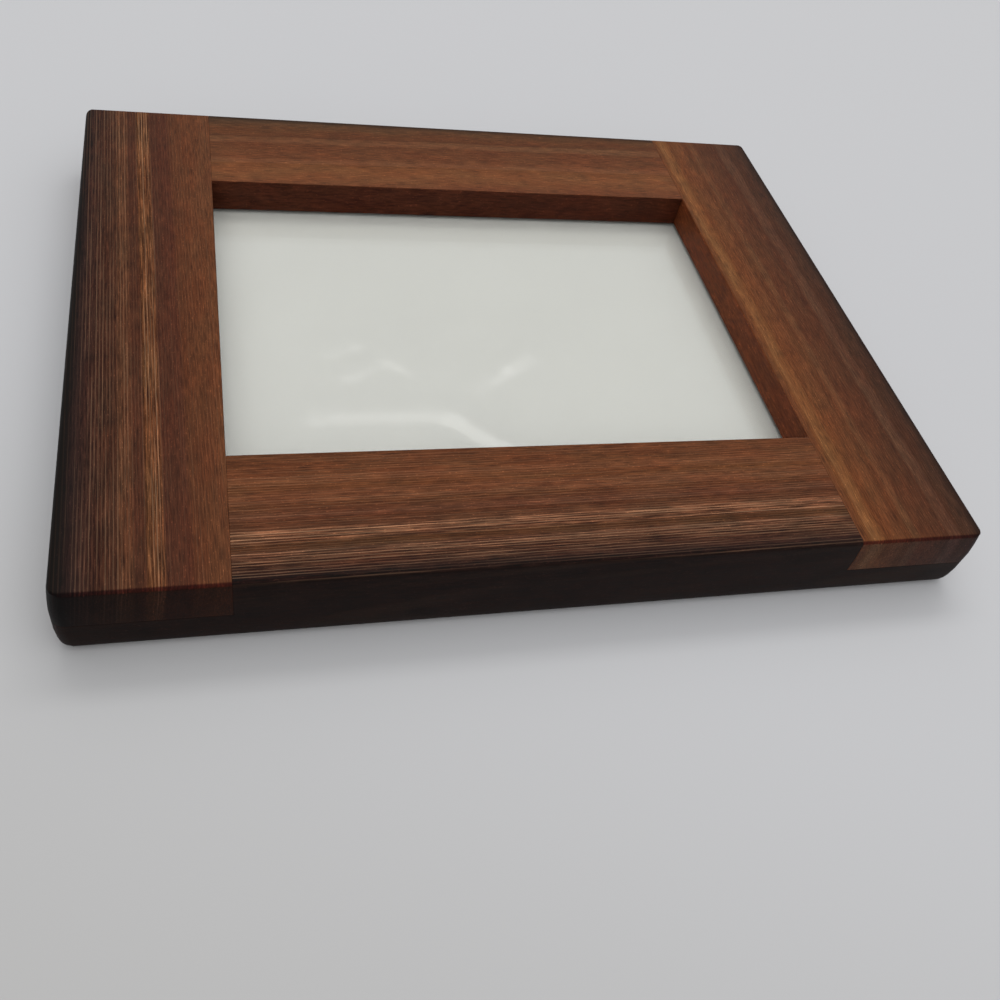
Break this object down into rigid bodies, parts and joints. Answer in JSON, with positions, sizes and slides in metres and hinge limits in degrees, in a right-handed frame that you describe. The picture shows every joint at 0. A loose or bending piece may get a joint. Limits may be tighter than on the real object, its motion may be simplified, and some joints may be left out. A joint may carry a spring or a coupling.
{
  "type": "wooden picture frame",
  "caption": "Flat wooden picture frame with halved corners, a deep sight opening over glazing and a white card, and turn buttons that hold its backing board.",
  "frame": {"origin": "centre of the back face, on the surface that the frame lies on", "axes": "+X along the long side, +Y towards the top rail, +Z out of the face of the frame"},
  "size_m": [0.2536, 0.205, 0.024],
  "materials": {
    "left_wood": "satin, fine straight grain",
    "right_wood": "satin, fine straight grain",
    "top_wood": "satin, fine straight grain",
    "bottom_wood": "satin, fine straight grain",
    "film": "clear, glossy, slightly creased",
    "acrylic": "clear, glossy",
    "white_card": "matt",
    "filler": "matt",
    "hardboard": "matt",
    "steel": "nickel plated",
    "screw_steel": "zinc plated",
    "plated_hanger": "brass plated"
  },
  "bodies": {
    "frame": {"left_stile": "left_wood", "right_stile": "right_wood", "top_rail": "top_wood", "bottom_rail": "bottom_wood", "clear_film": "film", "glazing": "acrylic", "insert_sheet": "white_card", "filler_board": "filler", "backing_board": "hardboard", "button_screws": "screw_steel", "sawtooth_hanger": "plated_hanger", "hanger_pins": "screw_steel"},
    "button_top_left": {"turn_button_top_left": "steel"},
    "button_top_right": {"turn_button_top_right": "steel"},
    "button_bottom_left": {"turn_button_bottom_left": "steel"},
    "button_bottom_right": {"turn_button_bottom_right": "steel"}
  },
  "joints": [
    {"name": "turn_top_left", "type": "hinge", "parent": "frame", "child": "button_top_left", "pos_m": [-0.055, 0.0703, 0.0025], "axis": [0, 0, 1], "continuous": true},
    {"name": "turn_top_right", "type": "hinge", "parent": "frame", "child": "button_top_right", "pos_m": [0.055, 0.0703, 0.0025], "axis": [0, 0, 1], "continuous": true},
    {"name": "turn_bottom_left", "type": "hinge", "parent": "frame", "child": "button_bottom_left", "pos_m": [-0.055, -0.0703, 0.0025], "axis": [0, 0, 1], "continuous": true},
    {"name": "turn_bottom_right", "type": "hinge", "parent": "frame", "child": "button_bottom_right", "pos_m": [0.055, -0.0703, 0.0025], "axis": [0, 0, 1], "continuous": true}
  ]
}
